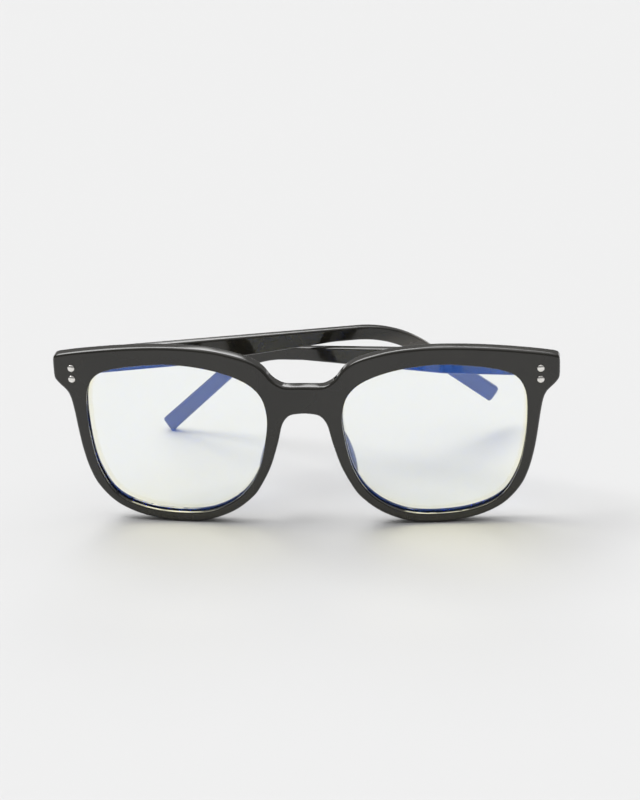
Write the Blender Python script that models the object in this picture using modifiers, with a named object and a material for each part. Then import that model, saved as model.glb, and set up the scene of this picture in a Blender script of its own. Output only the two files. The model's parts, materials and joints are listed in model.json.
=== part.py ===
"""Folding spectacles: a glossy black wrapped front, two coated lenses and two hinged temples, standing folded.

Everything is modelled first in the front's own frame (x to the side, y backwards from the front face of the
bridge, z up along the front from the rim bottoms). The whole object then leans back onto one temple tip.
"""
import math

import bmesh
import bpy
from mathutils import Matrix, Vector

MM = 0.001

# Front
FRONT_THICKNESS = 4.0 * MM
FRONT_EDGE_ROUNDING = 0.8 * MM
WRAP_RADIUS = 465.0 * MM
STRIP_WIDTH = 12.0 * MM
LENS_CENTRE = (35.6 * MM, 25.2 * MM)

# Right half of the front's outline, from the top of the bridge round to the top of the nose arch
OUTLINE = (
    (0.0, 41.1), (4.9, 41.1), (6.9, 41.8), (8.9, 43.3), (11.2, 46.2), (14.2, 48.3), (18.6, 49.8), (25.5, 51.3),
    (34.0, 52.0), (43.0, 51.9), (52.5, 51.2), (62.0, 50.0), (68.3, 48.9), (69.7, 48.3), (70.1, 47.2),
    (70.1, 43.0), (69.8, 41.5), (68.5, 39.9), (66.7, 38.1), (65.7, 36.0), (64.9, 32.0), (64.2, 27.0),
    (63.2, 21.0), (61.6, 15.0), (59.2, 10.0), (54.7, 5.2), (48.6, 2.1), (41.5, 0.5), (34.5, 0.0), (27.5, 0.8),
    (20.6, 3.6), (15.1, 8.0), (12.3, 12.1), (9.7, 17.5), (7.6, 24.2), (6.2, 29.7), (4.3, 32.3), (1.4, 33.0),
)
# Right lens opening, from the top centre outwards
OPENING = (
    (36.5, 47.0), (47.0, 46.2), (54.1, 44.8), (58.3, 42.8), (60.6, 39.0), (61.2, 33.8), (60.7, 24.7),
    (58.6, 15.2), (53.8, 7.5), (45.2, 3.7), (34.0, 2.7), (25.5, 4.1), (18.0, 8.8), (13.2, 16.4),
    (10.9, 26.1), (10.5, 32.6), (12.2, 38.4), (16.8, 42.5), (25.5, 45.6),
)
OUTLINE_STEP = 2.4 * MM
OPENING_STEP = 3.0 * MM

# Lenses
LENS_THICKNESS = 1.6 * MM
LENS_BULGE = 1.0 * MM
LENS_SEAT = 0.5 * MM
GROOVE_DEPTH = 0.8 * MM
GROOVE_WIDTH = 2.2 * MM
LENS_RINGS = 4

# Nose pads
PAD_SIZE = (1.35 * MM, 4.6 * MM, 8.6 * MM)
PAD_CENTRE = (10.5 * MM, 20.2 * MM)
PAD_CUT = 0.1 * MM
PAD_SLANT = -0.33
PAD_FLARE = 0.32

# Hinges: both axes lean to the same side, so that the folded temples stack one above the other
PIVOT = Vector((64.2, 9.9, 43.4)) * MM
AXIS_LEAN = math.radians(2.2)
KNUCKLE_RADIUS = 1.1 * MM
KNUCKLE_HEIGHT = 1.8 * MM
PIN_RADIUS = 0.5 * MM
PIN_HOLE_RADIUS = 0.72 * MM
LEAF_THICKNESS = 0.8 * MM
GAP = 0.3 * MM

# Front rivets
RIVET_X = 64.9 * MM
RIVET_Z = (41.8 * MM, 45.0 * MM)
RIVET_HEAD_RADIUS = 1.0 * MM
RIVET_HEAD_HEIGHT = 0.45 * MM
RIVET_SHANK_RADIUS = 0.5 * MM
RIVET_HOLE_RADIUS = 0.75 * MM
RIVET_DEPTH = 1.4 * MM

# Temples
TEMPLE_OFFSET = 1.7 * MM
TEMPLE_TOP = 47.3 * MM
TEMPLE_DROP = math.radians(6.6)
TEMPLE_LENGTH = 142.0 * MM
BEND_START = 87.3 * MM
BEND_RADIUS = 41.0 * MM
BEND_ANGLE = math.radians(33.9)
TEMPLE_HEIGHT = (7.1 * MM, 4.0 * MM, 4.9 * MM)
TAPER = (33.0 * MM, 80.0 * MM)
TEMPLE_THICKNESS = (3.2 * MM, 2.2 * MM)
TEMPLE_CORNER = 0.7 * MM
TIP_ROUNDING = 1.2 * MM
CORE_START = 12.0 * MM
CORE_END = 132.0 * MM
CORE_RADIUS = 0.5 * MM
TUNNEL_RADIUS = 0.75 * MM
TEMPLE_RIVET_Y = 6.5 * MM
TEMPLE_RIVET_SPREAD = 1.7 * MM

# Angle of the folded temples from the plane of the front, and how far each then opens
FOLDED = math.radians(26.8)
TRAVEL = {-1: math.radians(66.2), 1: math.radians(63.2)}

MERGE_DISTANCE = 5e-6
SIDE_NAMES = {-1: "left", 1: "right"}
COLLECTION = "blue_light_glasses"


def wrap(x):
    """How far the wrapped front lies behind the bridge at a distance x from the middle."""
    return x * x / (2.0 * WRAP_RADIUS)


# ---------------------------------------------------------------- scene and objects


def clear_scene():
    for obj in list(bpy.data.objects):
        bpy.data.objects.remove(obj, do_unlink=True)
    collection = bpy.data.collections.new(COLLECTION)
    bpy.context.scene.collection.children.link(collection)
    return collection


def material(name, color, roughness, metallic=0.0, transmission=0.0):
    mat = bpy.data.materials.new(name)
    mat.use_nodes = True
    mat.diffuse_color = (*color, 1.0)
    shader = mat.node_tree.nodes["Principled BSDF"]
    shader.inputs["Base Color"].default_value = (*color, 1.0)
    shader.inputs["Roughness"].default_value = roughness
    shader.inputs["Metallic"].default_value = metallic
    shader.inputs["Transmission Weight"].default_value = transmission
    return mat


def new_object(name, mesh):
    obj = bpy.data.objects.new(name, mesh)
    bpy.data.collections[COLLECTION].objects.link(obj)
    return obj


def object_from_bmesh(name, bm):
    bm.normal_update()
    bmesh.ops.recalc_face_normals(bm, faces=bm.faces)
    mesh = bpy.data.meshes.new(name)
    bm.to_mesh(mesh)
    bm.free()
    return new_object(name, mesh)


def bake(obj):
    """Applies an object's modifiers to its mesh, or turns a curve into a closed mesh."""
    evaluated = obj.evaluated_get(bpy.context.evaluated_depsgraph_get())
    mesh = bpy.data.meshes.new_from_object(evaluated)
    bm = bmesh.new()
    bm.from_mesh(mesh)
    bmesh.ops.remove_doubles(bm, verts=bm.verts, dist=MERGE_DISTANCE)
    bmesh.ops.recalc_face_normals(bm, faces=bm.faces)
    bm.to_mesh(mesh)
    bm.free()
    baked = new_object(obj.name + "_baked", mesh)
    baked.matrix_world = obj.matrix_world
    name = obj.name
    bpy.data.objects.remove(obj, do_unlink=True)
    baked.name = name
    return baked


def combine(obj, tools, operation):
    """Joins the tools to the object, or cuts them out of it, and removes them."""
    for tool in tools:
        modifier = obj.modifiers.new(operation.lower(), "BOOLEAN")
        modifier.operation = operation
        modifier.object = tool
    bpy.context.view_layer.update()
    result = bake(obj)
    for tool in tools:
        bpy.data.objects.remove(tool, do_unlink=True)
    return result


def finish(obj, mat, parent, smooth_angle=35.0):
    obj.data.materials.clear()
    obj.data.materials.append(mat)
    obj.data.shade_smooth()
    obj.data.set_sharp_from_angle(angle=math.radians(smooth_angle))
    obj.parent = parent
    return obj


# ---------------------------------------------------------------- outlines


def smooth_loop(knots, step):
    """A closed Catmull-Rom curve through the knots, with points about one step apart."""
    points = [Vector(knot) for knot in knots]
    count = len(points)
    loop = []
    for i in range(count):
        before, start, end, after = (points[(i + k) % count] for k in (-1, 0, 1, 2))
        leave = (end - before) * 0.5
        arrive = (after - start) * 0.5
        span = (end - start).length
        leave *= min(1.0, span / max(leave.length, 1e-9) * 1.1)
        arrive *= min(1.0, span / max(arrive.length, 1e-9) * 1.1)
        pieces = max(1, round(span / step))
        for k in range(pieces):
            t = k / pieces
            loop.append(
                (2 * t**3 - 3 * t**2 + 1) * start + (t**3 - 2 * t**2 + t) * leave
                + (3 * t**2 - 2 * t**3) * end + (t**3 - t**2) * arrive
            )
    return loop


def outer_loop():
    half = [Vector(point) * MM for point in OUTLINE]
    mirrored = [Vector((-point.x, point.y)) for point in reversed(half) if point.x > 0]
    return smooth_loop(half + mirrored, OUTLINE_STEP)


def opening_loop(side):
    return smooth_loop([Vector((side * x, z)) * MM for x, z in OPENING], OPENING_STEP)


def grown_loop(loop, distance):
    """The loop moved outwards by a distance."""
    area = sum(a.x * b.y - b.x * a.y for a, b in zip(loop, loop[1:] + loop[:1]))
    outward = math.copysign(1.0, area)
    grown = []
    for i, point in enumerate(loop):
        tangent = (loop[(i + 1) % len(loop)] - loop[i - 1]).normalized()
        grown.append(point + outward * distance * Vector((tangent.y, -tangent.x)))
    return grown


# ---------------------------------------------------------------- shapes


def plate(name, loops, front, thickness, rounding=0.0):
    """A flat plate in the x-z plane whose front face is at y = front. Loops inside the first one are holes."""
    curve = bpy.data.curves.new(name, "CURVE")
    curve.dimensions = "2D"
    curve.fill_mode = "BOTH"
    curve.extrude = thickness / 2 - rounding
    curve.bevel_depth = rounding
    curve.bevel_resolution = 0
    curve.offset = -rounding
    for loop in loops:
        spline = curve.splines.new("POLY")
        spline.points.add(len(loop) - 1)
        spline.use_cyclic_u = True
        for slot, point in zip(spline.points, loop):
            slot.co = (point.x, point.y, 0.0, 1.0)
    upright = Matrix.Translation((0.0, front + thickness / 2, 0.0)) @ Matrix.Rotation(math.pi / 2, 4, "X")
    result = bake(new_object(name, curve))
    result.data.transform(upright)
    return result


def box(name, low, high):
    bm = bmesh.new()
    bmesh.ops.create_cube(bm, size=1.0)
    size = Vector(high) - Vector(low)
    bmesh.ops.scale(bm, vec=size, verts=bm.verts)
    bmesh.ops.translate(bm, vec=(Vector(high) + Vector(low)) / 2, verts=bm.verts)
    return object_from_bmesh(name, bm)


def cylinder(name, start, end, radius, sides=20):
    """A round bar from one point to another."""
    along = Vector(end) - Vector(start)
    turn = Vector((0, 0, 1)).rotation_difference(along).to_matrix().to_4x4()
    bm = bmesh.new()
    bmesh.ops.create_cone(
        bm, cap_ends=True, segments=sides, radius1=radius, radius2=radius, depth=along.length,
        matrix=Matrix.Translation((Vector(start) + Vector(end)) / 2) @ turn,
    )
    return object_from_bmesh(name, bm)


def turned(name, profile, base, direction, steps=12):
    """A turned piece: a profile of (radius, height), from its top to its bottom, swept by a Screw modifier."""
    mesh = bpy.data.meshes.new(name)
    mesh.from_pydata([(radius, 0.0, height) for radius, height in profile],
                     [(i, i + 1) for i in range(len(profile) - 1)], [])
    obj = new_object(name, mesh)
    screw = obj.modifiers.new("turn", "SCREW")
    screw.steps = steps
    screw.render_steps = steps
    screw.use_merge_vertices = True
    screw.merge_threshold = 1e-5
    bpy.context.view_layer.update()
    obj = bake(obj)
    turn = Vector((0, 0, 1)).rotation_difference(Vector(direction)).to_matrix().to_4x4()
    obj.data.transform(Matrix.Translation(base) @ turn)
    return obj


def dome(radius, height, steps=3):
    """Profile points of a domed head, from its top to its rim."""
    angles = [math.pi / 2 * k / steps for k in range(steps + 1)]
    return [(radius * math.sin(a), height * math.cos(a)) for a in angles]


def loft(name, sections):
    """A closed skin over a row of sections with equal numbers of points."""
    bm = bmesh.new()
    rings = [[bm.verts.new(point) for point in section] for section in sections]
    count = len(rings[0])
    for ring, following in zip(rings, rings[1:]):
        for i in range(count):
            j = (i + 1) % count
            bm.faces.new((ring[i], ring[j], following[j], following[i]))
    bm.faces.new(reversed(rings[0]))
    bm.faces.new(rings[-1])
    return object_from_bmesh(name, bm)


def bend_to_wrap(obj, strips=True):
    """Cuts long faces into upright strips, then bends a flat piece back to follow the front's wrap."""
    bm = bmesh.new()
    bm.from_mesh(obj.data)
    if strips:
        reach = max(abs(vert.co.x) for vert in bm.verts)
        for k in range(-int(reach / STRIP_WIDTH), int(reach / STRIP_WIDTH) + 1):
            bmesh.ops.bisect_plane(
                bm, geom=bm.verts[:] + bm.edges[:] + bm.faces[:], dist=1e-6,
                plane_co=(k * STRIP_WIDTH, 0, 0), plane_no=(1, 0, 0),
            )
    bmesh.ops.triangulate(bm, faces=[face for face in bm.faces if len(face.verts) > 4])
    for vert in bm.verts:
        vert.co.y += wrap(vert.co.x)
    bm.to_mesh(obj.data)
    bm.free()
    return obj


# ---------------------------------------------------------------- front


def front_frame():
    openings = [list(reversed(opening_loop(side))) if side > 0 else opening_loop(side) for side in (-1, 1)]
    front = plate("front_frame", [outer_loop(), *openings], 0.0, FRONT_THICKNESS, FRONT_EDGE_ROUNDING)
    cutters = []
    for side in (-1, 1):
        groove = grown_loop(opening_loop(side), GROOVE_DEPTH)
        cutters.append(plate("groove", [groove], (FRONT_THICKNESS - GROOVE_WIDTH) / 2, GROOVE_WIDTH))
        for z in RIVET_Z:
            start = (side * RIVET_X, -MM, z)
            end = (side * RIVET_X, RIVET_DEPTH + GAP, z)
            cutters.append(cylinder("rivet_hole", start, end, RIVET_HOLE_RADIUS, 12))
    return bend_to_wrap(combine(front, cutters, "DIFFERENCE"))


def lens(side):
    """A domed lens: rings of its outline shrink towards its centre and come forward."""
    rim = grown_loop(opening_loop(side), LENS_SEAT)
    centre = Vector((side * LENS_CENTRE[0], LENS_CENTRE[1]))
    back = (FRONT_THICKNESS + LENS_THICKNESS) / 2
    rings = []
    shares = [k / LENS_RINGS for k in range(1, LENS_RINGS + 1)]
    for y, order in ((back - LENS_THICKNESS, shares), (back, reversed(shares))):
        for share in order:
            depth = y - LENS_BULGE * (1 - share**2)
            ring = [centre + (point - centre) * share for point in rim]
            rings.append([(point.x, depth, point.y) for point in ring])
    return bend_to_wrap(loft("lens_" + SIDE_NAMES[side], rings), strips=False)


def nose_pad(side):
    """Half of a long ellipsoid on the back of the rim, slanting with the nose and flaring backwards."""
    bm = bmesh.new()
    bmesh.ops.create_uvsphere(bm, u_segments=20, v_segments=14, radius=1.0)
    bmesh.ops.scale(bm, vec=PAD_SIZE, verts=bm.verts)
    cut = bmesh.ops.bisect_plane(
        bm, geom=bm.verts[:] + bm.edges[:] + bm.faces[:], dist=1e-6,
        plane_co=(0, PAD_CUT, 0), plane_no=(0, 1, 0), clear_inner=True,
    )
    bmesh.ops.edgeloop_fill(bm, edges=[item for item in cut["geom_cut"] if isinstance(item, bmesh.types.BMEdge)])
    for vert in bm.verts:
        x = PAD_CENTRE[0] + vert.co.x + PAD_SLANT * vert.co.z + PAD_FLARE * vert.co.y
        y = FRONT_THICKNESS + GAP - PAD_CUT + vert.co.y
        vert.co = (side * x, y + wrap(x), PAD_CENTRE[1] + vert.co.z)
    return object_from_bmesh("nose_pad_" + SIDE_NAMES[side], bm)


def front_rivet(side, z, name):
    profile = dome(RIVET_HEAD_RADIUS, RIVET_HEAD_HEIGHT) + [
        (RIVET_SHANK_RADIUS, 0.0), (RIVET_SHANK_RADIUS, -RIVET_DEPTH), (0.0, -RIVET_DEPTH)]
    slope = side * RIVET_X / WRAP_RADIUS
    base = Vector((side * RIVET_X, wrap(RIVET_X) - 0.2 * MM, z))
    return turned(f"front_rivet_{SIDE_NAMES[side]}_{name}", profile, base, Vector((slope, -1, 0)))


# ---------------------------------------------------------------- hinges


def hinge_axis():
    return Vector((-math.sin(AXIS_LEAN), 0.0, math.cos(AXIS_LEAN)))


def pivot(side):
    return Vector((side * PIVOT.x, PIVOT.y, PIVOT.z))


def knuckle(side, level):
    """One barrel of the hinge: level 1 is the top one, 0 the middle one and -1 the bottom one."""
    centre = pivot(side) + hinge_axis() * level * (KNUCKLE_HEIGHT + GAP)
    half = hinge_axis() * KNUCKLE_HEIGHT / 2
    return cylinder("knuckle", centre - half, centre + half, KNUCKLE_RADIUS)


def pin_hole(side):
    reach = hinge_axis() * 3 * KNUCKLE_HEIGHT
    return cylinder("pin_hole", pivot(side) - reach, pivot(side) + reach, PIN_HOLE_RADIUS, 16)


def front_hinge_leaf(side):
    """A plate on the back of the endpiece, with two lugs that carry the top and bottom knuckles."""
    half_height = 1.5 * KNUCKLE_HEIGHT + GAP
    near, far = 60.9 * MM, PIVOT.x - KNUCKLE_RADIUS - GAP
    low_y = FRONT_THICKNESS + wrap(far) + GAP
    high_y = low_y + LEAF_THICKNESS
    ends = sorted((side * near, side * far))
    leaf = box("front_hinge_leaf_" + SIDE_NAMES[side], (ends[0], low_y, PIVOT.z - half_height),
               (ends[1], high_y, PIVOT.z + half_height))
    additions = []
    for level in (-1, 1):
        ends = sorted((side * (far - 0.5 * MM), side * (PIVOT.x + 0.1 * MM)))
        middle = PIVOT.z + level * (KNUCKLE_HEIGHT + GAP)
        half = 0.44 * KNUCKLE_HEIGHT
        additions.append(box("lug", (ends[0], low_y + 0.05 * MM, middle - half),
                             (ends[1], high_y + 0.4 * MM, middle + half)))
        additions.append(knuckle(side, level))
    leaf = combine(leaf, additions, "UNION")
    return combine(leaf, [pin_hole(side)], "DIFFERENCE")


def temple_hinge_leaf(side):
    """A plate on the inner face of the temple, with one lug that carries the middle knuckle."""
    half_height = 1.5 * KNUCKLE_HEIGHT + GAP
    outer = PIVOT.x + TEMPLE_OFFSET - GAP
    inner = outer - LEAF_THICKNESS
    start = PIVOT.y + KNUCKLE_RADIUS + 2 * GAP
    end = PIVOT.y + 10.5 * MM
    ends = sorted((side * inner, side * outer))
    leaf = box("temple_hinge_leaf_" + SIDE_NAMES[side], (ends[0], start, PIVOT.z - half_height),
               (ends[1], end, PIVOT.z + half_height))
    lug_ends = sorted((side * (PIVOT.x + 0.2 * MM), side * (outer - 0.05 * MM)))
    half = 0.42 * KNUCKLE_HEIGHT
    lug = box("lug", (lug_ends[0], PIVOT.y, PIVOT.z - half), (lug_ends[1], start + MM, PIVOT.z + half))
    leaf = combine(leaf, [lug, knuckle(side, 0)], "UNION")
    holes = [temple_rivet_hole(side, level) for level in (-1, 1)]
    return combine(leaf, [pin_hole(side), *holes], "DIFFERENCE")


def hinge_screw(side):
    head = 0.6 * MM
    top = 1.5 * KNUCKLE_HEIGHT + GAP + 0.2 * MM
    profile = [(0.0, head), (0.7 * MM, head), (0.95 * MM, 0.7 * head), (0.95 * MM, 0.0), (PIN_RADIUS, 0.0),
               (PIN_RADIUS, -2 * top), (0.0, -2 * top)]
    return turned("hinge_screw_" + SIDE_NAMES[side], profile, pivot(side) + hinge_axis() * top, hinge_axis())


# ---------------------------------------------------------------- temples


def temple_path(distance):
    """Point (y, z) and downward angle of the temple's top edge at a distance from its hinged end."""
    bend = min(max(distance - BEND_START, 0.0) / BEND_RADIUS, BEND_ANGLE)
    before = min(distance, BEND_START)
    after = max(distance - BEND_START - BEND_RADIUS * BEND_ANGLE, 0.0)
    angle = TEMPLE_DROP + bend
    y = before * math.cos(TEMPLE_DROP) + BEND_RADIUS * (math.sin(angle) - math.sin(TEMPLE_DROP))
    z = -before * math.sin(TEMPLE_DROP) - BEND_RADIUS * (math.cos(TEMPLE_DROP) - math.cos(angle))
    return y + after * math.cos(angle), z - after * math.sin(angle), angle


def temple_height(distance):
    """Even as far as the taper, then slimmer down to the bend, and growing again towards the tip."""
    tapered = min(max(distance - TAPER[0], 0.0) / (TAPER[1] - TAPER[0]), 1.0)
    grown = max(distance - BEND_START, 0.0) / (TEMPLE_LENGTH - BEND_START)
    full, slim, tip = TEMPLE_HEIGHT
    return full + (slim - full) * tapered + (tip - slim) * grown


def temple_thickness(distance):
    return TEMPLE_THICKNESS[0] + (TEMPLE_THICKNESS[1] - TEMPLE_THICKNESS[0]) * distance / TEMPLE_LENGTH


def temple_end(x, side):
    """Where the temple starts at x: just behind the endpiece's back face, mitred to open past a right angle."""
    past = max(0.0, FOLDED + TRAVEL[side] - math.pi / 2)
    return FRONT_THICKNESS + GAP + wrap(x) + math.tan(past) * (x - PIVOT.x)


def rounded_section(width, height, corner, steps=2):
    """Corner-rounded rectangle, as (across, up) offsets from its centre."""
    points = []
    for quarter in range(4):
        cx = (width / 2 - corner) * (1 if quarter in (0, 3) else -1)
        cz = (height / 2 - corner) * (1 if quarter in (0, 1) else -1)
        for k in range(steps + 1):
            angle = math.pi / 2 * (quarter + k / steps)
            points.append((cx + corner * math.cos(angle), cz + corner * math.sin(angle)))
    return points


def temple_stations():
    bend_end = BEND_START + BEND_RADIUS * BEND_ANGLE
    straight = [0.0, TAPER[0] / 2, TAPER[0], (TAPER[0] + TAPER[1]) / 2, TAPER[1]]
    bend = [BEND_START + (bend_end - BEND_START) * k / 8 for k in range(9)]
    tip = [TEMPLE_LENGTH - TIP_ROUNDING * (1 - math.sin(math.pi / 2 * k / 3)) for k in range(4)]
    return straight + bend + tip


def temple(side):
    sections = []
    for distance in temple_stations():
        y, z, angle = temple_path(distance)
        left = TEMPLE_LENGTH - distance
        inset = 0.0
        if left < TIP_ROUNDING:
            inset = TIP_ROUNDING - math.sqrt(TIP_ROUNDING**2 - (TIP_ROUNDING - left) ** 2)
        height = temple_height(distance)
        thickness = temple_thickness(distance)
        lean = 0.0 if distance == 0.0 else angle
        section = []
        for across, up in rounded_section(thickness - inset, height - 2 * inset, TEMPLE_CORNER):
            x = PIVOT.x + TEMPLE_OFFSET + thickness / 2 + across
            below = height / 2 - up
            section.append((side * x, temple_end(x, side) + y - below * math.sin(lean),
                            TEMPLE_TOP + z - below * math.cos(lean)))
        sections.append(section)
    body = loft("temple_" + SIDE_NAMES[side], sections)
    tools = [temple_rivet_hole(side, level) for level in (-1, 1)]
    tools.append(core_tube("tunnel", side, -3.0 * MM, CORE_END + GAP, TUNNEL_RADIUS))
    return combine(body, tools, "DIFFERENCE")


def core_tube(name, side, start, end, radius, sides=8):
    """A round bar along the middle of the temple."""
    count = 22
    sections = []
    for k in range(count + 1):
        distance = start + (end - start) * k / count
        y, z, angle = temple_path(distance)
        half = temple_height(max(distance, 0.0)) / 2
        middle_x = PIVOT.x + TEMPLE_OFFSET + temple_thickness(distance) / 2
        centre = Vector((side * middle_x, temple_end(middle_x, side) + y - half * math.sin(angle),
                         TEMPLE_TOP + z - half * math.cos(angle)))
        up = Vector((0.0, math.sin(angle), math.cos(angle)))
        across = Vector((side, 0.0, 0.0))
        ring = [2 * math.pi * i / sides for i in range(sides)]
        sections.append([centre + radius * (math.cos(a) * across + math.sin(a) * up) for a in ring])
    return loft(name, sections)


def temple_rivet_place(side, level):
    """Where a temple rivet's head sits on the temple's outer face."""
    y = temple_end(PIVOT.x, side) + TEMPLE_RIVET_Y
    x = PIVOT.x + TEMPLE_OFFSET + temple_thickness(TEMPLE_RIVET_Y)
    return Vector((side * x, y, PIVOT.z + level * TEMPLE_RIVET_SPREAD))


def temple_rivet_hole(side, level):
    place = temple_rivet_place(side, level)
    inner = Vector((side * (PIVOT.x - 2 * MM), place.y, place.z))
    return cylinder("rivet_hole", place + Vector((side * MM, 0, 0)), inner, RIVET_HOLE_RADIUS, 12)


def temple_rivet(side, level, name):
    length = TEMPLE_THICKNESS[0] + GAP + LEAF_THICKNESS
    profile = dome(RIVET_HEAD_RADIUS, RIVET_HEAD_HEIGHT) + [
        (RIVET_SHANK_RADIUS, 0.0), (RIVET_SHANK_RADIUS, -length), (0.0, -length)]
    base = temple_rivet_place(side, level) + Vector((side * 0.2 * MM, 0, 0))
    return turned(f"temple_rivet_{SIDE_NAMES[side]}_{name}", profile, base, Vector((side, 0, 0)))


# ---------------------------------------------------------------- pose


def fold_turn(side):
    """Rotation about the hinge axis that folds the opened temple to where it rests."""
    return Matrix.Rotation(side * (math.pi / 2 - FOLDED), 4, hinge_axis())


def resting_lean():
    """How far the front leans back so that the right temple's tip meets the table with the rim bottoms."""
    y, z, angle = temple_path(TEMPLE_LENGTH)
    height = TEMPLE_HEIGHT[2]
    corner = Vector((PIVOT.x + TEMPLE_OFFSET + TEMPLE_THICKNESS[1] / 2,
                     temple_end(PIVOT.x, 1) + y - height * math.sin(angle),
                     TEMPLE_TOP + z - height * math.cos(angle)))
    resting = pivot(1) + fold_turn(1) @ (corner - pivot(1))
    rounded_off = TIP_ROUNDING * (math.sqrt(2) - 1)
    rim = wrap(LENS_CENTRE[0]) + FRONT_THICKNESS / 2
    return math.atan2(resting.z + rounded_off, resting.y - rim)


def empty(name, matrix, parent=None):
    obj = bpy.data.objects.new(name, None)
    bpy.data.collections[COLLECTION].objects.link(obj)
    obj.parent = parent
    obj.matrix_world = matrix
    bpy.context.view_layer.update()
    return obj


def seat_on_table(root):
    """Moves the object so that its box is centred on the origin and its lowest point is at z = 0."""
    bpy.context.view_layer.update()
    corners = []
    for obj in bpy.data.collections[COLLECTION].objects:
        if obj.type == "MESH":
            corners += [obj.matrix_world @ vert.co for vert in obj.data.vertices]
    lows = [min(corner[axis] for corner in corners) for axis in range(3)]
    highs = [max(corner[axis] for corner in corners) for axis in range(3)]
    root.location -= Vector(((lows[0] + highs[0]) / 2, (lows[1] + highs[1]) / 2, lows[2]))
    bpy.context.view_layer.update()


def build():
    clear_scene()
    black = material("black_acetate", (0.012, 0.012, 0.013), 0.08)
    tip_black = material("temple_black", (0.012, 0.012, 0.013), 0.1)
    clear = material("coated_lens", (0.85, 0.9, 1.0), 0.03, transmission=0.9)
    steel = material("polished_steel", (0.72, 0.71, 0.68), 0.22, 1.0)

    root = empty("front_pose", Matrix.Rotation(-resting_lean(), 4, "X"))
    finish(front_frame(), black, root)
    for side in (-1, 1):
        finish(lens(side), clear, root)
        finish(nose_pad(side), black, root)
        finish(front_hinge_leaf(side), steel, root)
        finish(hinge_screw(side), steel, root)
        for z, name in zip(RIVET_Z, ("lower", "upper")):
            finish(front_rivet(side, z, name), steel, root)

        # Empty on the hinge axis: it carries the temple and turns it from open to folded
        centre = Matrix.Translation(pivot(side))
        hinge = empty("temple_hinge_" + SIDE_NAMES[side], root.matrix_world @ centre @ fold_turn(side), root)
        name = SIDE_NAMES[side]
        pieces = [(temple(side), tip_black), (core_tube("temple_core_" + name, side, CORE_START, CORE_END,
                                                        CORE_RADIUS), steel), (temple_hinge_leaf(side), steel)]
        pieces += [(temple_rivet(side, level, label), steel) for level, label in ((-1, "lower"), (1, "upper"))]
        for piece, mat in pieces:
            piece.data.transform(Matrix.Translation(-pivot(side)))
            finish(piece, mat, hinge)
    seat_on_table(root)


build()
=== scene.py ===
import json
import math

import bmesh
import bpy
import numpy as np
from mathutils import Matrix, Vector


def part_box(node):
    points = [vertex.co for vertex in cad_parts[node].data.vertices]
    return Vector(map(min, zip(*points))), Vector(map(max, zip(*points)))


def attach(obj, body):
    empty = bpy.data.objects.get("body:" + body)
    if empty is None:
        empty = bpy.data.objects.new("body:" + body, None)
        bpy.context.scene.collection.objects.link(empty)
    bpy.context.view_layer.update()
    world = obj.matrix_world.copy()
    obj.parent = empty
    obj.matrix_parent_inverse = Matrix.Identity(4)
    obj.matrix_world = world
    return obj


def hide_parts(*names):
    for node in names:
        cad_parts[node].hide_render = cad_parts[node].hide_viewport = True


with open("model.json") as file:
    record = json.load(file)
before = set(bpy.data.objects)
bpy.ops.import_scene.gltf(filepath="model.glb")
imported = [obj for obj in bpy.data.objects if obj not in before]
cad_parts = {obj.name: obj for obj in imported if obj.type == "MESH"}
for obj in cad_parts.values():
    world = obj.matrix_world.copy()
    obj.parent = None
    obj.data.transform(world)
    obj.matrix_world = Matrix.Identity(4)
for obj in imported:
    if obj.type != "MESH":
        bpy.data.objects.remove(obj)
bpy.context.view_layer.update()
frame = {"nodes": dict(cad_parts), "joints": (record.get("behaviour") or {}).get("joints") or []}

MM = 0.001
SIDE_NAMES = {-1: "left", 1: "right"}

# Front, in its own frame: x to the side, y backwards from the bridge's front face, z up from the rim bottoms
FRONT_THICKNESS = 4.0 * MM
WRAP_RADIUS = 465.0 * MM
STRIP_WIDTH = 2.5 * MM
LOOP_STEP = 0.6 * MM
OUTER_FRONT_ROUNDING = 0.85 * MM
OUTER_BACK_ROUNDING = 0.6 * MM
OPENING_FRONT_ROUNDING = 0.4 * MM
OPENING_BACK_ROUNDING = 0.35 * MM
GROOVE_DEPTH = 0.7 * MM
GROOVE_WIDTH = 1.7 * MM
ROUNDING_STEPS = 6

# Right half of the front's outline, from the top of the bridge round to the top of the nose arch
OUTLINE = (
    (0.0, 41.1), (4.9, 41.1), (6.9, 41.8), (8.9, 43.3), (11.2, 46.2), (14.2, 48.3), (18.6, 49.8), (25.5, 51.3),
    (34.0, 52.0), (43.0, 51.9), (52.5, 51.2), (62.0, 50.0), (68.3, 48.9), (69.7, 48.3), (70.1, 47.2),
    (70.1, 43.0), (69.8, 41.5), (68.5, 39.9), (66.7, 38.1), (65.7, 36.0), (64.9, 32.0), (64.2, 27.0),
    (63.2, 21.0), (61.6, 15.0), (59.2, 10.0), (54.7, 5.2), (48.6, 2.1), (41.5, 0.5), (34.5, 0.0), (27.5, 0.8),
    (20.6, 3.6), (15.1, 8.0), (12.3, 12.1), (9.7, 17.5), (7.6, 24.2), (6.2, 29.7), (4.3, 32.3), (1.4, 33.0),
)
# Right lens opening, from the top centre outwards
OPENING = (
    (36.5, 47.0), (47.0, 46.2), (54.1, 44.8), (58.3, 42.8), (60.6, 39.0), (61.2, 33.8), (60.7, 24.7),
    (58.6, 15.2), (53.8, 7.5), (45.2, 3.7), (34.0, 2.7), (25.5, 4.1), (18.0, 8.8), (13.2, 16.4),
    (10.9, 26.1), (10.5, 32.6), (12.2, 38.4), (16.8, 42.5), (25.5, 45.6),
)

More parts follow.
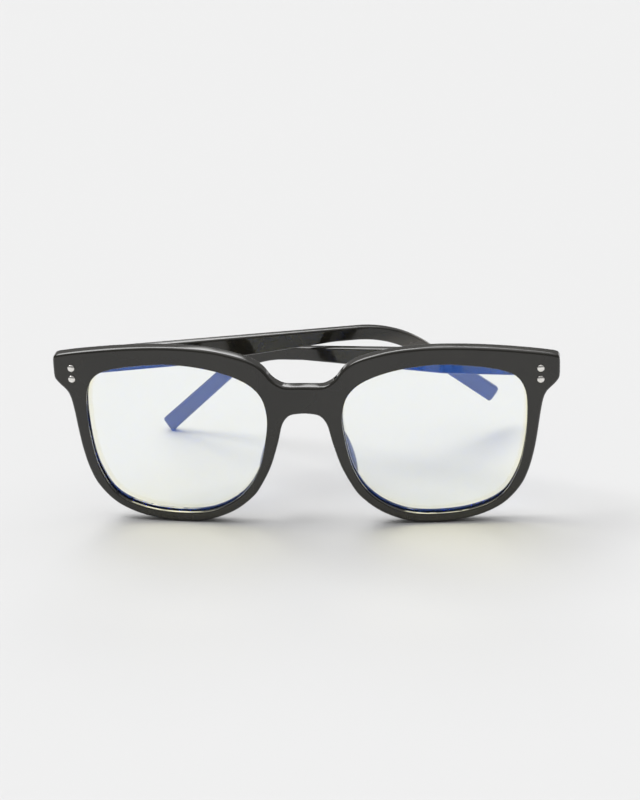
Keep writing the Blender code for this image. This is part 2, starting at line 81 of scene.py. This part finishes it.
# Lenses, nose pads and rivets
LENS_THICKNESS = 1.6 * MM
LENS_BULGE = 1.0 * MM
LENS_SEAT = 0.6 * MM
LENS_CENTRE = (35.6 * MM, 25.2 * MM)
LENS_STEP = 1.2 * MM
LENS_RINGS = 22
PAD_SIZE = (1.35 * MM, 4.6 * MM, 8.6 * MM)
PAD_CENTRE = (10.5 * MM, 20.2 * MM)
PAD_SLANT = -0.33
PAD_FLARE = 0.32
PAD_SUNK = 0.25 * MM
PAD_LIFT = 0.2 * MM
RIVET_RADIUS = 1.05 * MM
RIVET_HEIGHT = 0.55 * MM
RIVET_FOOT = 0.04 * MM
RIVET_SUNK = 0.12 * MM
SHANK_RADIUS = 0.5 * MM
FRONT_SHANK = 1.2 * MM
RIVET_X = 64.9 * MM
RIVET_Z = {"lower": 41.8 * MM, "upper": 45.0 * MM}

# Hinges and temples
PIVOT = Vector((64.2, 9.9, 43.4)) * MM
TEMPLE_OFFSET = 1.7 * MM
TEMPLE_TOP = 47.3 * MM
TEMPLE_DROP = math.radians(6.6)
TEMPLE_LENGTH = 142.0 * MM
BEND_START = 87.3 * MM
BEND_RADIUS = 41.0 * MM
BEND_ANGLE = math.radians(33.9)
TEMPLE_HEIGHT = (7.1 * MM, 4.0 * MM, 4.9 * MM)
TAPER = (33.0 * MM, 80.0 * MM)
TEMPLE_THICKNESS = (3.2 * MM, 2.2 * MM)
TEMPLE_CORNER = 0.6 * MM
TIP_ROUNDING = 1.2 * MM
HINGE_END_ROUNDING = 0.35 * MM
TEMPLE_STEPS = 110
GAP = 0.3 * MM
FOLDED = math.radians(26.8)

# Hinge screws
SCREW_HEAD = 0.6 * MM
SCREW_HEAD_RADIUS = 0.93 * MM
SCREW_HEAD_FLAT = 0.78 * MM
SCREW_EDGE = 0.12 * MM
SCREW_REACH = 0.97
SCREW_SLOT_HALF = 0.13 * MM
SCREW_SLOT_DEPTH = 0.28 * MM

# Colours of the black acetate and of its satin temple tips, which start below a height and fade in
BLACK = (0.0165, 0.0152, 0.0118)
SATIN_FROM = {-1: 37.0 * MM, 1: 27.0 * MM}
SATIN_FADE = 7.0 * MM
SATIN_COLOR = (0.14, 0.13, 0.115)
SATIN_ROUGHNESS = 0.3

# Other colours: steel, what a lens face mirrors and what it lets through, and the floor
RIVET_STEEL = (0.9, 0.88, 0.84)
HINGE_STEEL = (0.62, 0.62, 0.61)
LENS_MIRRORED = (0.012, 0.042, 0.19)
LENS_CLEAR = (0.985, 0.967, 0.815)
FLOOR_COLOR = (0.64, 0.64, 0.64)
FLOOR_SIZE = 6.0

# Soft light panels, in degrees but for the strength: azimuth from straight behind the glasses (clockwise from
# above), elevation, radius, soft edge, strength
PANELS = (
    (-13, 29, 7.5, 1, 3.6),
    (-4, 29, 7.5, 1, 3.6),
    (5, 29, 7.5, 1, 3.6),
    (-30, 52, 14, 5, 5.3),
    (-80, 56, 12, 5, 8.5),
    (20, 74, 34, 14, 1.1),
)
AMBIENT = 0.28

# Camera
CAMERA_DISTANCE = 0.700
CAMERA_ELEVATION = math.radians(21.85)
CAMERA_AZIMUTH = math.radians(-5.5)
CAMERA_ROLL = math.radians(-2.0)
VIEW_CENTRE_RIGHT = 4.24 * MM
VIEW_CENTRE_UP = 33.4 * MM
LENS_MM = 112.0


# ---------------------------------------------------------------- the front's frame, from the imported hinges


def front_matrix():
    """Where the front's own frame stands: its hinge points and their leaning axis place it."""
    joints = {joint["name"]: joint for joint in frame["joints"]}
    left = Vector(joints["temple_left_hinge"]["pos_m"])
    right = Vector(joints["temple_right_hinge"]["pos_m"])
    axis = Vector(joints["temple_right_hinge"]["axis"]).normalized()
    turn = Matrix.Rotation(-math.atan2(axis.y, axis.z), 4, "X")
    middle = (left + right) / 2
    return Matrix.Translation(middle - turn @ Vector((0, PIVOT.y, PIVOT.z))) @ turn, axis


FRONT_MATRIX, HINGE_AXIS = front_matrix()


def pivot(side):
    return Vector((side * PIVOT.x, PIVOT.y, PIVOT.z))


def fold_matrix(side):
    """Carries a temple modelled straight back from the front to where it rests folded."""
    place = FRONT_MATRIX @ pivot(side)
    turn = Matrix.Rotation(side * (math.pi / 2 - FOLDED), 4, HINGE_AXIS)
    return Matrix.Translation(place) @ turn @ Matrix.Translation(-place) @ FRONT_MATRIX


def wrap(x):
    """How far the wrapped front lies behind the bridge at a distance x from the middle."""
    return x * x / (2.0 * WRAP_RADIUS)


# ---------------------------------------------------------------- mesh helpers


def add_piece(name, bm, mat, body, nodes, matrix, smooth_angle=40.0):
    """Makes an object of the mesh, in the row's frame, gives it its body and material slot, and hides the CAD nodes
    it stands in for.
    """
    bm.transform(matrix)
    bm.normal_update()
    bmesh.ops.recalc_face_normals(bm, faces=bm.faces)
    mesh = bpy.data.meshes.new(name)
    bm.to_mesh(mesh)
    bm.free()
    mesh.shade_smooth()
    mesh.set_sharp_from_angle(angle=math.radians(smooth_angle))
    mesh.materials.append(mat)
    obj = bpy.data.objects.new(name, mesh)
    bpy.context.scene.collection.objects.link(obj)
    weighted = obj.modifiers.new("normals", "WEIGHTED_NORMAL")
    weighted.keep_sharp = True
    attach(obj, body)
    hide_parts(*nodes)
    return obj


def smooth_loop(knots, step):
    """A closed Catmull-Rom curve through the knots, with points about one step apart."""
    points = [Vector(knot) for knot in knots]
    count = len(points)
    loop = []
    for i in range(count):
        before, start, end, after = (points[(i + k) % count] for k in (-1, 0, 1, 2))
        leave = (end - before) * 0.5
        arrive = (after - start) * 0.5
        span = (end - start).length
        leave *= min(1.0, span / max(leave.length, 1e-9) * 1.1)
        arrive *= min(1.0, span / max(arrive.length, 1e-9) * 1.1)
        pieces = max(1, round(span / step))
        for k in range(pieces):
            t = k / pieces
            loop.append(
                (2 * t**3 - 3 * t**2 + 1) * start + (t**3 - 2 * t**2 + t) * leave
                + (3 * t**2 - 2 * t**3) * end + (t**3 - t**2) * arrive
            )
    return loop


def outer_loop():
    half = [Vector(point) * MM for point in OUTLINE]
    mirrored = [Vector((-point.x, point.y)) for point in reversed(half) if point.x > 0]
    return smooth_loop(half + mirrored, LOOP_STEP)


def opening_loop(side, step):
    return smooth_loop([Vector((side * x, z)) * MM for x, z in OPENING], step)


def grown_loop(loop, distance):
    """The loop moved outwards by a distance."""
    area = sum(a.x * b.y - b.x * a.y for a, b in zip(loop, loop[1:] + loop[:1]))
    outward = math.copysign(1.0, area)
    grown = []
    for i, point in enumerate(loop):
        tangent = (loop[(i + 1) % len(loop)] - loop[i - 1]).normalized()
        grown.append(point + outward * distance * Vector((tangent.y, -tangent.x)))
    return grown


def rounding(radius):
    """Quarter round from a flat face (inset, depth 0) to a wall (inset 0, depth radius)."""
    turns = [math.pi / 2 * k / ROUNDING_STEPS for k in range(ROUNDING_STEPS + 1)]
    return [(radius * (1 - math.sin(turn)), radius * (1 - math.cos(turn))) for turn in turns]


def join_rings(bm, rings):
    """Quads between each ring of vertices and the next."""
    for ring, following in zip(rings, rings[1:]):
        for i in range(len(ring)):
            j = (i + 1) % len(ring)
            bm.faces.new((ring[i], ring[j], following[j], following[i]))


def ring_wall(bm, loop, profile, into):
    """Rings of a loop, moved into the material by each profile inset, joined into a wall. Returns the end rings."""
    rings = []
    for inset, depth in profile:
        rings.append([bm.verts.new((p.x, depth, p.y)) for p in grown_loop(loop, into * inset)])
    join_rings(bm, rings)
    return rings[0], rings[-1]


def ring_edges(bm, ring):
    return [bm.edges.get((ring[i - 1], ring[i])) for i in range(len(ring))]


def turned(profile, steps=40):
    """A bmesh of a (radius, height) profile, top to bottom, swept about the z axis."""
    bm = bmesh.new()
    verts = [bm.verts.new((radius, 0.0, height)) for radius, height in profile]
    edges = [bm.edges.new(pair) for pair in zip(verts, verts[1:])]
    bmesh.ops.spin(bm, geom=verts + edges, axis=(0, 0, 1), cent=(0, 0, 0), steps=steps, angle=2 * math.pi)
    bmesh.ops.remove_doubles(bm, verts=bm.verts, dist=1e-7)
    return bm


def aimed(base, direction):
    """Moves a turned piece's origin to the base and points its z axis along the direction."""
    turn = Vector((0, 0, 1)).rotation_difference(Vector(direction)).to_matrix().to_4x4()
    return Matrix.Translation(base) @ turn


# ---------------------------------------------------------------- materials


def link(tree, start, end):
    tree.links.new(start, end)


def noise(tree, scale, detail=3.0, stretch=None):
    source = tree.nodes.new("ShaderNodeTexCoord").outputs["Object"]
    if stretch:
        mapping = tree.nodes.new("ShaderNodeMapping")
        mapping.inputs["Scale"].default_value = stretch
        link(tree, source, mapping.inputs["Vector"])
        source = mapping.outputs["Vector"]
    texture = tree.nodes.new("ShaderNodeTexNoise")
    texture.inputs["Scale"].default_value = scale
    texture.inputs["Detail"].default_value = detail
    link(tree, source, texture.inputs["Vector"])
    return texture.outputs["Fac"]


def remap(tree, value, low, high, new_low, new_high):
    node = tree.nodes.new("ShaderNodeMapRange")
    node.inputs["From Min"].default_value = low
    node.inputs["From Max"].default_value = high
    node.inputs["To Min"].default_value = new_low
    node.inputs["To Max"].default_value = new_high
    link(tree, value, node.inputs["Value"])
    return node.outputs["Result"]


def new_material(name):
    mat = bpy.data.materials.new(name)
    mat.use_nodes = True
    tree = mat.node_tree
    return mat, tree, tree.nodes["Principled BSDF"]


def mix_colors(tree, factor, first, second):
    node = tree.nodes.new("ShaderNodeMix")
    node.data_type = "RGBA"
    node.inputs["A"].default_value = (*first, 1.0)
    node.inputs["B"].default_value = (*second, 1.0)
    link(tree, factor, node.inputs["Factor"])
    return node.outputs["Result"]


def bump(tree, shader, height, strength, distance):
    node = tree.nodes.new("ShaderNodeBump")
    node.inputs["Strength"].default_value = strength
    node.inputs["Distance"].default_value = distance
    link(tree, height, node.inputs["Height"])
    link(tree, node.outputs["Normal"], shader.inputs["Normal"])


def polished_black(name, base, roughness, satin_from=None):
    """Polished black acetate: faint cloudiness, hairline wear, a polish ripple and, on a temple, a satin tip."""
    mat, tree, shader = new_material(name)
    cloud = remap(tree, noise(tree, 60.0), 0.35, 0.65, 0.0, 1.0)
    color = mix_colors(tree, cloud, base, tuple(1.35 * part for part in base))
    wear = remap(tree, noise(tree, 900.0, detail=6.0, stretch=(0.12, 1.0, 1.0)), 0.45, 0.75,
                 roughness, roughness * 1.9)
    if satin_from:
        split = tree.nodes.new("ShaderNodeSeparateXYZ")
        link(tree, tree.nodes.new("ShaderNodeTexCoord").outputs["Object"], split.inputs["Vector"])
        satin = remap(tree, split.outputs["Z"], satin_from, satin_from - SATIN_FADE, 0.0, 1.0)
        blend = tree.nodes.new("ShaderNodeMix")
        blend.data_type = "RGBA"
        blend.inputs["B"].default_value = (*SATIN_COLOR, 1.0)
        link(tree, color, blend.inputs["A"])
        link(tree, satin, blend.inputs["Factor"])
        color = blend.outputs["Result"]
        duller = tree.nodes.new("ShaderNodeMath")
        duller.operation = "MULTIPLY_ADD"
        duller.inputs[1].default_value = SATIN_ROUGHNESS
        link(tree, satin, duller.inputs[0])
        link(tree, wear, duller.inputs[2])
        wear = duller.outputs["Value"]
    link(tree, color, shader.inputs["Base Color"])
    link(tree, wear, shader.inputs["Roughness"])
    shader.inputs["IOR"].default_value = 1.5
    shader.inputs["Coat Weight"].default_value = 0.15
    shader.inputs["Coat Roughness"].default_value = 0.02
    bump(tree, shader, noise(tree, 220.0, detail=2.0), 0.06, 0.00008)
    return mat


def metal(name, base, roughness, grain, stretch=(1.0, 1.0, 1.0)):
    """Polished or satin steel with fine turning marks and a little tarnish in its colour."""
    mat, tree, shader = new_material(name)
    tone = remap(tree, noise(tree, grain, detail=5.0, stretch=stretch), 0.35, 0.7, 0.0, 1.0)
    link(tree, mix_colors(tree, tone, base, tuple(0.82 * part for part in base)), shader.inputs["Base Color"])
    shader.inputs["Metallic"].default_value = 1.0
    link(tree, remap(tree, tone, 0.0, 1.0, roughness, roughness * 1.6), shader.inputs["Roughness"])
    bump(tree, shader, tone, 0.12, 0.00003)
    return mat


def coated_lens():
    """Clear lens with a coating: each face mirrors mostly blue and lets the rest through."""
    mat, tree, shader = new_material("coated_lens")
    shader.inputs["Base Color"].default_value = (*LENS_MIRRORED, 1.0)
    shader.inputs["Metallic"].default_value = 1.0
    smear = remap(tree, noise(tree, 35.0, detail=2.0), 0.4, 0.7, 0.02, 0.035)
    link(tree, smear, shader.inputs["Roughness"])
    clear = tree.nodes.new("ShaderNodeBsdfTransparent")
    clear.inputs["Color"].default_value = (*LENS_CLEAR, 1.0)
    both = tree.nodes.new("ShaderNodeAddShader")
    link(tree, shader.outputs["BSDF"], both.inputs[0])
    link(tree, clear.outputs["BSDF"], both.inputs[1])
    link(tree, both.outputs["Shader"], tree.nodes["Material Output"].inputs["Surface"])
    return mat


def floor_material():
    mat, tree, shader = new_material("pale_floor")
    tone = remap(tree, noise(tree, 3.0, detail=2.0), 0.3, 0.7, 0.0, 1.0)
    link(tree, mix_colors(tree, tone, FLOOR_COLOR, tuple(0.995 * part for part in FLOOR_COLOR)),
         shader.inputs["Base Color"])
    shader.inputs["Roughness"].default_value = 1.0
    shader.inputs["Specular IOR Level"].default_value = 0.0
    return mat


# ---------------------------------------------------------------- front pieces


def front_frame(mat):
    """Rims, bridge and endpieces in one piece, cut into upright strips so that it can be wrapped."""
    bm = bmesh.new()
    outer_profile = rounding(OUTER_FRONT_ROUNDING) + [
        (inset, FRONT_THICKNESS - depth) for inset, depth in reversed(rounding(OUTER_BACK_ROUNDING))]
    groove = [FRONT_THICKNESS / 2 + k * GROOVE_WIDTH / 2 for k in (-1, 1)]
    opening_profile = rounding(OPENING_FRONT_ROUNDING) + [
        (0.0, groove[0]), (GROOVE_DEPTH, groove[0]), (GROOVE_DEPTH, groove[1]), (0.0, groove[1])]
    opening_profile += [
        (inset, FRONT_THICKNESS - depth) for inset, depth in reversed(rounding(OPENING_BACK_ROUNDING))]
    ends = [ring_wall(bm, outer_loop(), outer_profile, -1)]
    ends += [ring_wall(bm, opening_loop(side, LOOP_STEP), opening_profile, 1) for side in (-1, 1)]
    for which in (0, 1):
        edges = [edge for pair in ends for edge in ring_edges(bm, pair[which])]
        bmesh.ops.triangle_fill(bm, edges=edges, use_beauty=True, use_dissolve=False)
    reach = max(vert.co.x for vert in bm.verts)
    strips = int(reach / STRIP_WIDTH)
    for k in range(-strips, strips + 1):
        caps = [face for face in bm.faces if abs(face.normal.y) > 0.999 or len(face.verts) == 3]
        geometry = caps + list({edge for face in caps for edge in face.edges})
        geometry += list({vert for face in caps for vert in face.verts})
        bmesh.ops.bisect_plane(
            bm, geom=geometry, dist=1e-7, plane_co=(k * STRIP_WIDTH, 0, 0), plane_no=(1, 0, 0))
    for vert in bm.verts:
        vert.co.y += wrap(vert.co.x)
    return add_piece("front", bm, mat, "front", ["front_frame"], FRONT_MATRIX)


def lens(side, mat):
    """Domed lens, seated in its rim's groove."""
    rim = grown_loop(opening_loop(side, LENS_STEP), LENS_SEAT)
    centre = Vector((side * LENS_CENTRE[0], LENS_CENTRE[1]))
    back = (FRONT_THICKNESS + LENS_THICKNESS) / 2
    bm = bmesh.new()
    rings = []
    shares = [k / LENS_RINGS for k in range(1, LENS_RINGS + 1)]
    for y, order in ((back - LENS_THICKNESS, shares), (back, shares[::-1])):
        for share in order:
            depth = y - LENS_BULGE * (1 - share**2)
            ring = [centre + (point - centre) * share for point in rim]
            rings.append([bm.verts.new((p.x, depth + wrap(p.x), p.y)) for p in ring])
    join_rings(bm, rings)
    bm.faces.new(rings[0])
    bm.faces.new(rings[-1])
    name = SIDE_NAMES[side]
    return add_piece("coated_lens_" + name, bm, mat, "front", ["lens_" + name], FRONT_MATRIX)


def nose_pad(side, mat):
    """Half of a long ellipsoid on the back of the rim, slanting with the nose and flaring backwards."""
    bm = bmesh.new()
    bmesh.ops.create_uvsphere(bm, u_segments=48, v_segments=40, radius=1.0)
    bmesh.ops.scale(bm, vec=PAD_SIZE, verts=bm.verts)
    cut = bmesh.ops.bisect_plane(
        bm, geom=bm.verts[:] + bm.edges[:] + bm.faces[:], dist=1e-7,
        plane_co=(0, -PAD_SUNK, 0), plane_no=(0, 1, 0), clear_inner=True,
    )
    rim = [item for item in cut["geom_cut"] if isinstance(item, bmesh.types.BMEdge)]
    bmesh.ops.edgeloop_fill(bm, edges=rim)
    for vert in bm.verts:
        x = PAD_CENTRE[0] + vert.co.x + PAD_SLANT * vert.co.z + PAD_FLARE * vert.co.y
        vert.co = (side * x, FRONT_THICKNESS + PAD_LIFT + vert.co.y + wrap(x), PAD_CENTRE[1] + vert.co.z)
    name = SIDE_NAMES[side]
    return add_piece("pad_" + name, bm, mat, "front", ["nose_pad_" + name], FRONT_MATRIX)


def rivet_profile(shank):
    """A low domed head with a crisp foot, and its shank."""
    turns = [math.pi / 2 * k / 10 for k in range(11)]
    head = [(RIVET_RADIUS * math.sin(t), RIVET_HEIGHT * math.cos(t) ** 0.8) for t in turns[:-1]]
    return head + [(RIVET_RADIUS, RIVET_FOOT), (RIVET_RADIUS, -RIVET_SUNK), (SHANK_RADIUS, -RIVET_SUNK),
                   (SHANK_RADIUS, -shank), (0.0, -shank)]


def front_rivet(side, level, mat):
    slope = side * RIVET_X / WRAP_RADIUS
    base = Vector((side * RIVET_X, wrap(RIVET_X), RIVET_Z[level]))
    bm = turned(rivet_profile(FRONT_SHANK))
    name = f"{SIDE_NAMES[side]}_{level}"
    return add_piece("front_stud_" + name, bm, mat, "front", ["front_rivet_" + name],
                     FRONT_MATRIX @ aimed(base, (slope, -1, 0)))


def hinge_screw(side, mat):
    """Slotted screw on the hinge axis, in the place of the CAD one."""
    low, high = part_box("hinge_screw_" + SIDE_NAMES[side])
    length = (high - low).dot(HINGE_AXIS)
    end = -length * SCREW_REACH
    profile = [(0.0, 0.0), (SCREW_HEAD_FLAT, 0.0), (SCREW_HEAD_RADIUS, -SCREW_EDGE),
               (SCREW_HEAD_RADIUS, -SCREW_HEAD), (SHANK_RADIUS, -SCREW_HEAD), (SHANK_RADIUS, end), (0.0, end)]
    bm = turned(profile, 32)
    for offset in (-SCREW_SLOT_HALF, SCREW_SLOT_HALF):
        bmesh.ops.bisect_plane(bm, geom=bm.verts[:] + bm.edges[:] + bm.faces[:], dist=1e-8,
                               plane_co=(offset, 0, 0), plane_no=(1, 0, 0))
    floor_faces = [f for f in bm.faces if f.normal.z > 0.9 and abs(f.calc_center_median().x) < SCREW_SLOT_HALF
                   and f.calc_center_median().z > -0.05 * MM]
    sunk = bmesh.ops.extrude_face_region(bm, geom=floor_faces)
    bmesh.ops.delete(bm, geom=floor_faces, context="FACES")
    moved = [item for item in sunk["geom"] if isinstance(item, bmesh.types.BMVert)]
    bmesh.ops.translate(bm, vec=(0, 0, -SCREW_SLOT_DEPTH), verts=moved)
    base = (low + high) / 2 + HINGE_AXIS * length / 2
    name = SIDE_NAMES[side]
    return add_piece("screw_" + name, bm, mat, "front", ["hinge_screw_" + name],
                     aimed(base, HINGE_AXIS), 30.0)


# ---------------------------------------------------------------- temples


def temple_path(distance):
    """Point (y, z) and downward angle of the temple's top edge at a distance from its hinged end."""
    bend = min(max(distance - BEND_START, 0.0) / BEND_RADIUS, BEND_ANGLE)
    before = min(distance, BEND_START)
    after = max(distance - BEND_START - BEND_RADIUS * BEND_ANGLE, 0.0)
    angle = TEMPLE_DROP + bend
    y = before * math.cos(TEMPLE_DROP) + BEND_RADIUS * (math.sin(angle) - math.sin(TEMPLE_DROP))
    z = -before * math.sin(TEMPLE_DROP) - BEND_RADIUS * (math.cos(TEMPLE_DROP) - math.cos(angle))
    return y + after * math.cos(angle), z - after * math.sin(angle), angle


def temple_height(distance):
    """Even as far as the taper, then slimmer down to the bend, and growing again towards the tip."""
    tapered = min(max(distance - TAPER[0], 0.0) / (TAPER[1] - TAPER[0]), 1.0)
    grown = max(distance - BEND_START, 0.0) / (TEMPLE_LENGTH - BEND_START)
    full, slim, tip = TEMPLE_HEIGHT
    return full + (slim - full) * tapered + (tip - slim) * grown


def temple_thickness(distance):
    return TEMPLE_THICKNESS[0] + (TEMPLE_THICKNESS[1] - TEMPLE_THICKNESS[0]) * distance / TEMPLE_LENGTH


def temple_end(x, side):
    """Where the temple starts at x: just behind the endpiece's back face, mitred to its open position."""
    joint = next(j for j in frame["joints"] if j["child"] == "temple_" + SIDE_NAMES[side])
    travel = math.radians(max(abs(limit) for limit in joint["range_deg"]))
    past = max(0.0, FOLDED + travel - math.pi / 2)
    return FRONT_THICKNESS + GAP + wrap(x) + math.tan(past) * (x - PIVOT.x)


def rounded_section(width, height, corner, steps=6):
    """Corner-rounded rectangle, as (across, up) offsets from its centre."""
    points = []
    for quarter in range(4):
        cx = (width / 2 - corner) * (1 if quarter in (0, 3) else -1)
        cz = (height / 2 - corner) * (1 if quarter in (0, 1) else -1)
        for k in range(steps + 1):
            angle = math.pi / 2 * (quarter + k / steps)
            points.append((cx + corner * math.cos(angle), cz + corner * math.sin(angle)))
    return points


def temple_stations():
    """Distances along the temple: rounded ends, an even straight and a fine bend."""
    hinge = [HINGE_END_ROUNDING * (1 - math.cos(math.pi / 2 * k / 4)) for k in range(5)]
    body = list(np.linspace(2 * MM, TEMPLE_LENGTH - TIP_ROUNDING - MM, TEMPLE_STEPS))
    tip = [TEMPLE_LENGTH - TIP_ROUNDING * (1 - math.sin(math.pi / 2 * k / 8)) for k in range(9)]
    return hinge + body + tip


def end_inset(radius, distance):
    """How far a rounded end draws the section in, at a distance from the end."""
    if distance >= radius:
        return 0.0
    return radius - math.sqrt(max(radius**2 - (radius - distance) ** 2, 0.0))


def temple(side, mat):
    """Flat-sided temple, lofted along its bent path and turned to where it rests folded."""
    bm = bmesh.new()
    rings = []
    for distance in temple_stations():
        y, z, angle = temple_path(distance)
        inset = end_inset(TIP_ROUNDING, TEMPLE_LENGTH - distance) + end_inset(HINGE_END_ROUNDING, distance)
        height, thickness = temple_height(distance), temple_thickness(distance)
        shape = rounded_section(thickness - 2 * min(inset, 0.8 * MM), height - 2 * inset,
                                TEMPLE_CORNER * (1 - 0.5 * min(inset / TIP_ROUNDING, 1)))
        lean = angle * min(distance / (6 * MM), 1.0)
        ring = []
        for across, up in shape:
            x = PIVOT.x + TEMPLE_OFFSET + thickness / 2 + across
            back = y - (height / 2 - up) * math.sin(lean)
            ring.append(bm.verts.new((side * x, temple_end(x, side) + back,
                                      TEMPLE_TOP + z - (height / 2 - up) * math.cos(lean))))
        rings.append(ring)
    join_rings(bm, rings)
    bm.faces.new(rings[0])
    bm.faces.new(rings[-1])
    name = SIDE_NAMES[side]
    return add_piece("arm_" + name, bm, mat, "temple_" + name, ["temple_" + name, "temple_core_" + name],
                     fold_matrix(side))


def temple_rivet(side, level, mat):
    name = f"{SIDE_NAMES[side]}_{level}"
    low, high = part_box("temple_rivet_" + name)
    outward = (fold_matrix(side).to_3x3() @ Vector((side, 0, 0))).normalized()
    length = TEMPLE_THICKNESS[0] + 0.9 * MM
    base = (low + high) / 2 + outward * (length / 2 - 0.02 * MM)
    bm = turned(rivet_profile(length - 0.2 * MM))
    return add_piece("temple_stud_" + name, bm, mat, "temple_" + SIDE_NAMES[side], ["temple_rivet_" + name],
                     aimed(base, outward))


# ---------------------------------------------------------------- stage


def floor():
    bm = bmesh.new()
    bmesh.ops.create_grid(bm, x_segments=4, y_segments=4, size=FLOOR_SIZE)
    mesh = bpy.data.meshes.new("floor")
    bm.to_mesh(mesh)
    bm.free()
    mesh.materials.append(floor_material())
    obj = bpy.data.objects.new("floor", mesh)
    bpy.context.scene.collection.objects.link(obj)


def world_light():
    """Studio light from all round: soft bright panels on a dim surround."""
    world = bpy.data.worlds.new("studio")
    bpy.context.scene.world = world
    world.use_nodes = True
    tree = world.node_tree
    background = tree.nodes["Background"]
    direction = tree.nodes.new("ShaderNodeTexCoord").outputs["Generated"]
    total = None
    for azimuth, elevation, reach, edge, strength in PANELS:
        az, el = math.radians(azimuth), math.radians(elevation)
        aim = (math.sin(az) * math.cos(el), math.cos(az) * math.cos(el), math.sin(el))
        dot = tree.nodes.new("ShaderNodeVectorMath")
        dot.operation = "DOT_PRODUCT"
        dot.inputs[1].default_value = aim
        link(tree, direction, dot.inputs[0])
        spread = tree.nodes.new("ShaderNodeMapRange")
        spread.interpolation_type = "SMOOTHSTEP"
        spread.inputs["From Min"].default_value = math.cos(math.radians(reach + edge))
        spread.inputs["From Max"].default_value = math.cos(math.radians(max(reach - edge, 0.0)))
        spread.inputs["To Max"].default_value = strength
        link(tree, dot.outputs["Value"], spread.inputs["Value"])
        if total is None:
            total = spread.outputs["Result"]
        else:
            add = tree.nodes.new("ShaderNodeMath")
            link(tree, total, add.inputs[0])
            link(tree, spread.outputs["Result"], add.inputs[1])
            total = add.outputs["Value"]
    ambient = tree.nodes.new("ShaderNodeMath")
    ambient.inputs[1].default_value = AMBIENT
    link(tree, total, ambient.inputs[0])
    link(tree, ambient.outputs["Value"], background.inputs["Strength"])
    background.inputs["Color"].default_value = (1.0, 1.0, 1.0, 1.0)


def camera():
    """Camera in front of the glasses and above them, aimed just above the middle of the front."""
    rim_bottom = FRONT_MATRIX @ Vector((0.0, wrap(LENS_CENTRE[0]) + FRONT_THICKNESS / 2, 0.0))
    level = Vector((math.sin(CAMERA_AZIMUTH), math.cos(CAMERA_AZIMUTH), 0.0))
    forward = level * math.cos(CAMERA_ELEVATION) - Vector((0.0, 0.0, math.sin(CAMERA_ELEVATION)))
    right = Vector((level.y, -level.x, 0.0))
    up = right.cross(forward)
    data = bpy.data.cameras.new("camera")
    data.lens = LENS_MM
    data.sensor_width = 36.0
    data.clip_start = 0.01
    obj = bpy.data.objects.new("camera", data)
    bpy.context.scene.collection.objects.link(obj)
    place = rim_bottom + right * VIEW_CENTRE_RIGHT + up * VIEW_CENTRE_UP - forward * CAMERA_DISTANCE
    turn = Matrix((right, up, -forward)).transposed().to_4x4()
    obj.matrix_world = Matrix.Translation(place) @ turn @ Matrix.Rotation(CAMERA_ROLL, 4, "Z")
    bpy.context.scene.camera = obj


# ---------------------------------------------------------------- assembly

black = polished_black("front_acetate", BLACK, 0.05)
rivet_metal = metal("rivet_metal", RIVET_STEEL, 0.14, 1500.0)
hinge_metal = metal("hinge_metal", HINGE_STEEL, 0.28, 1800.0, (1.0, 1.0, 0.15))
lens_material = coated_lens()

front_frame(black)
for side in (-1, 1):
    lens(side, lens_material)
    nose_pad(side, black)
    hinge_screw(side, hinge_metal)
    temple(side, polished_black("temple_acetate_" + SIDE_NAMES[side], BLACK, 0.06, SATIN_FROM[side]))
    for level in ("lower", "upper"):
        front_rivet(side, level, rivet_metal)
        temple_rivet(side, level, rivet_metal)
    for node in ("front_hinge_leaf_", "temple_hinge_leaf_"):
        leaf = frame["nodes"][node + SIDE_NAMES[side]]
        leaf.data.materials.clear()
        leaf.data.materials.append(hinge_metal)

floor()
world_light()
camera()
bpy.context.scene.view_settings.view_transform = "Standard"
